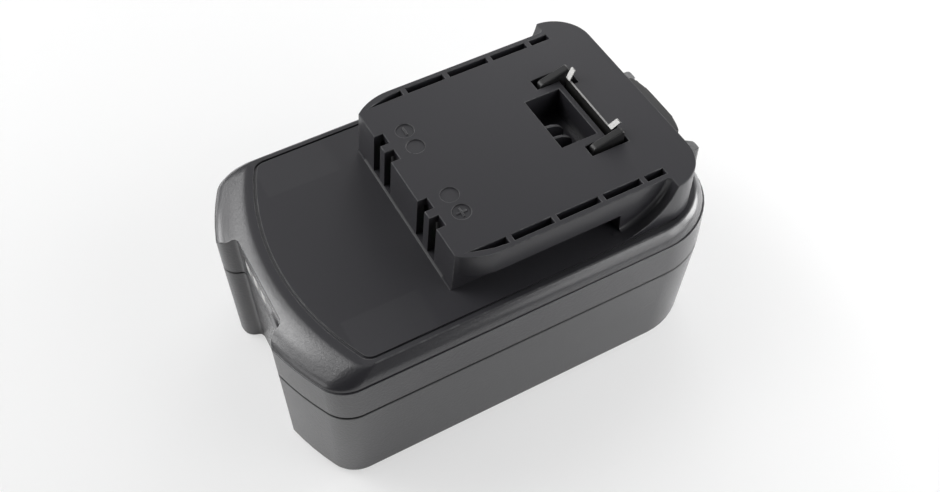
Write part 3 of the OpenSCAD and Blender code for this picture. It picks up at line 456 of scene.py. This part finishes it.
dressed("gauge_button", "test_button",
        sheet_stock("test_rubber", (0.2, 0.2, 0.205), 0.0003, 0.6, 0.00001), 0.00015)
clothe(sheet_stock("light_bodies", (0.7, 0.68, 0.6), 0.0004, 0.4, 0.000005), "gauge_leds")
ribbon_finish, ribbon_shader, ribbon_at = new_finish("ribbon_plastic")
wire_pitch = 0.0012
wire_row = (ribbon_at.parts()[1] * (2 * pi / wire_pitch)).math("SINE")
paint(ribbon_shader, {"Base Color": wire_row.rise(-0.2, 0.6).blend((0.5, 0.5, 0.5), (0.75, 0.74, 0.72)),
                      "Roughness": 0.45 + 0.1 * ribbon_at.noise(0.001), "Normal": wire_row.bump(0.00008)})
clothe(ribbon_finish, "gauge_ribbon")


# Latch: the slider with two ramped prongs, a folded steel insert in it, and the release button at the rear.
# The three move down together against two coil springs of drawn steel wire.

latch_finish = moulded("latch_plastic", (0.016, 0.016, 0.0165), 0.42)
button_finish = moulded("button_plastic", (0.016, 0.016, 0.0165), 0.45)
dressed("latch_slider", "latch", latch_finish, 0.0003)
dressed("release_button", "latch", button_finish, 0.0003)
dressed("latch_steel_insert", "latch",
        plated("insert_steel", (0.3, 0.298, 0.293), 0.4, (1, 0.05, 1)), 0.00012)

coil_turns, coil_wire, coil_width = 5, 0.00065, 0.006
coil_steps, coil_sides = 36 * coil_turns, 12
coil_low, coil_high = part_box("latch_springs")
coil_tall = coil_high[2] - coil_low[2]


def coil_points(middle):
    """Points of a round wire on a rising helix. At turn angle a and section angle b they stand at the radius
    R + w / 2 cos b and at the height w / 2 + (H - w) s + w / 2 sin b, where s goes from 0 to 1 with a."""
    a = np.linspace(0, 2 * pi * coil_turns, coil_steps + 1)[:, None]
    b = np.linspace(0, 2 * pi, coil_sides, endpoint=False)[None]
    reach = (coil_width - coil_wire) / 2 + coil_wire / 2 * np.cos(b)
    height = coil_wire / 2 * (1 + np.sin(b)) + (coil_tall - coil_wire) * a / a[-1]
    x, y = middle[0] + reach * np.cos(a), middle[1] + reach * np.sin(a)
    return np.stack([x, y, coil_low[2] + height], 2).reshape(-1, 3)


def coil_faces(first):
    """Quads between neighbouring sections of a wire whose points count from first, and its two closed ends."""
    i, j = np.meshgrid(np.arange(coil_steps), np.arange(coil_sides), indexing="ij")
    here, over = first + i * coil_sides + j, first + i * coil_sides + (j + 1) % coil_sides
    quads = np.stack([here, here + coil_sides, over + coil_sides, over], 2).reshape(-1, 4).tolist()
    last = first + coil_steps * coil_sides
    return quads + [list(range(first, first + coil_sides)), list(range(last, last + coil_sides))[::-1]]


coil_x, coil_y = (coil_low[0] + coil_high[0]) / 2, coil_high[1] - coil_width / 2
coil_each = coil_sides * (coil_steps + 1)
coil_spots = np.concatenate([coil_points((coil_x, -coil_y)), coil_points((coil_x, coil_y))])
coil_mesh = bpy.data.meshes.new("latch_coils")
coil_mesh.from_pydata(coil_spots.tolist(), [], coil_faces(0) + coil_faces(coil_each))
coil_mesh.polygons.foreach_set("use_smooth", [True] * len(coil_mesh.polygons))
coil_mesh.materials.append(plated("spring_steel", (0.5, 0.5, 0.5), 0.25))
coils = bpy.data.objects.new("latch_coils", coil_mesh)
bpy.context.scene.collection.objects.link(coils)
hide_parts("latch_springs")
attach(coils, "case")
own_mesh(coils)


# Case: the tray below the parting line and the top with its deck, shoulder and guide tower.
# Both are black glass-filled mouldings, satin on the walls and matte on the deck and tower.
# Four screws from below close them.

# Heights of the parting line, the deck and the tower plate.
part_z, deck_z, plate_z = 0.0285, 0.0432, 0.0555
# Places of the painted highlight line along the tower's front foot, the matte stretch of the catch window,
# the deck's shallow patches and the walls' upright lines.
foot_x, foot_y = -0.01615, 0.0212
pocket_x, pocket_y, pocket_edge = (0.0225, 0.0326), 0.009, 0.0002
patch_x, patch_y = (-0.0432, -0.0215), 0.0212
witness_x = (-0.0223, 0.0292)

case_finish, case_shader, case_at = new_finish("case_plastic")
case_x, case_y, case_z = case_at.parts()
case_rim = case_at.node("ShaderNodeAttribute", {"attribute_name": "rim"}, {}, "Fac")
deck_up = case_z.rise(deck_z - 0.0003, deck_z - 0.0001)
below_plate = 1 - case_z.rise(plate_z - 0.0005, plate_z - 0.0002)
tower_side = case_z.rise(deck_z + 0.0003, deck_z + 0.0006) * below_plate
pocket = (case_x.rise(pocket_x[0] - pocket_edge, pocket_x[0])
          * (1 - case_x.rise(pocket_x[1], pocket_x[1] + pocket_edge))
          * (1 - abs(case_y).rise(pocket_y, pocket_y + pocket_edge)))
matte = deck_up * (1 - 0.6 * tower_side * (1 - pocket))
case_cloud = case_at.noise(0.014, 3.0)
spark = case_at.noise(0.00022, 2.0, 0.6)
pebble = case_at.noise(0.0006, 2.0, 0.55)
patch_in = (case_x.rise(patch_x[0], patch_x[0] + 0.0008) * (1 - case_x.rise(patch_x[1] - 0.003, patch_x[1]))
            * abs(case_y).rise(patch_y, patch_y + 0.0008) * deck_up)
witness_front, witness_rear = [case_x.band(x, 0.0001, 0.00015) for x in witness_x]
witness = (witness_front + witness_rear) * (1 - deck_up)
# The parting line is painted dark, with less coat, as painted shade in its groove.
parting_shade = case_z.band(part_z, 0.0003, 0.0003)
# Rounded edges are rubbed smoother. On the deck, tower and plate they are also painted much lighter as painted
# edge highlights; on the walls only a little.
case_wear_and_highlight = case_rim * (0.35 + 0.65 * case_at.noise(0.003).rise(0.45, 0.7))
# A thin stretch at the foot of the tower's front wall, painted light as a painted highlight line.
foot_highlight = (case_z.band(deck_z + 0.0003, 0.00025, 0.00005) * case_x.band(foot_x, 0.0003, 0.0001)
        * (1 - abs(case_y).rise(foot_y, foot_y + 0.0004)))
case_painted_highlight = (case_wear_and_highlight * (0.06 + 0.84 * deck_up)).math("MAXIMUM", 0.8 * foot_highlight)
case_tone = case_cloud.blend((0.0196, 0.0191, 0.0232), (0.0220, 0.0214, 0.0258))
case_shade = (case_painted_highlight + 0.09 * patch_in).blend(case_tone, (0.085, 0.085, 0.088))
case_relief = 7.0 * pebble * (1 - deck_up) - 0.6 * patch_in - 0.5 * witness
paint(case_shader, {
    "Base Color": parting_shade.blend(case_shade, (0.01, 0.01, 0.011)),
    "Roughness": 0.42 + 0.16 * matte + 0.05 * (case_cloud - 0.5) + 0.14 * (spark - 0.5) - 0.06 * case_wear_and_highlight,
    "Coat Weight": (0.9 - 0.9 * matte) * (0.45 + pebble) * (1 - 0.9 * parting_shade),
    "Coat Roughness": 0.22,
    "Coat IOR": 1.6,
    "Normal": spark.bump(0.000008, case_relief.bump(0.000012)),
    "IOR": 1.44,
})
dressed("bottom_case", "case", case_finish, 0.00025)
dressed("top_case", "case", case_finish, 0.00022)
dressed("housing_screws", "case", screw_steel, 0.00012)
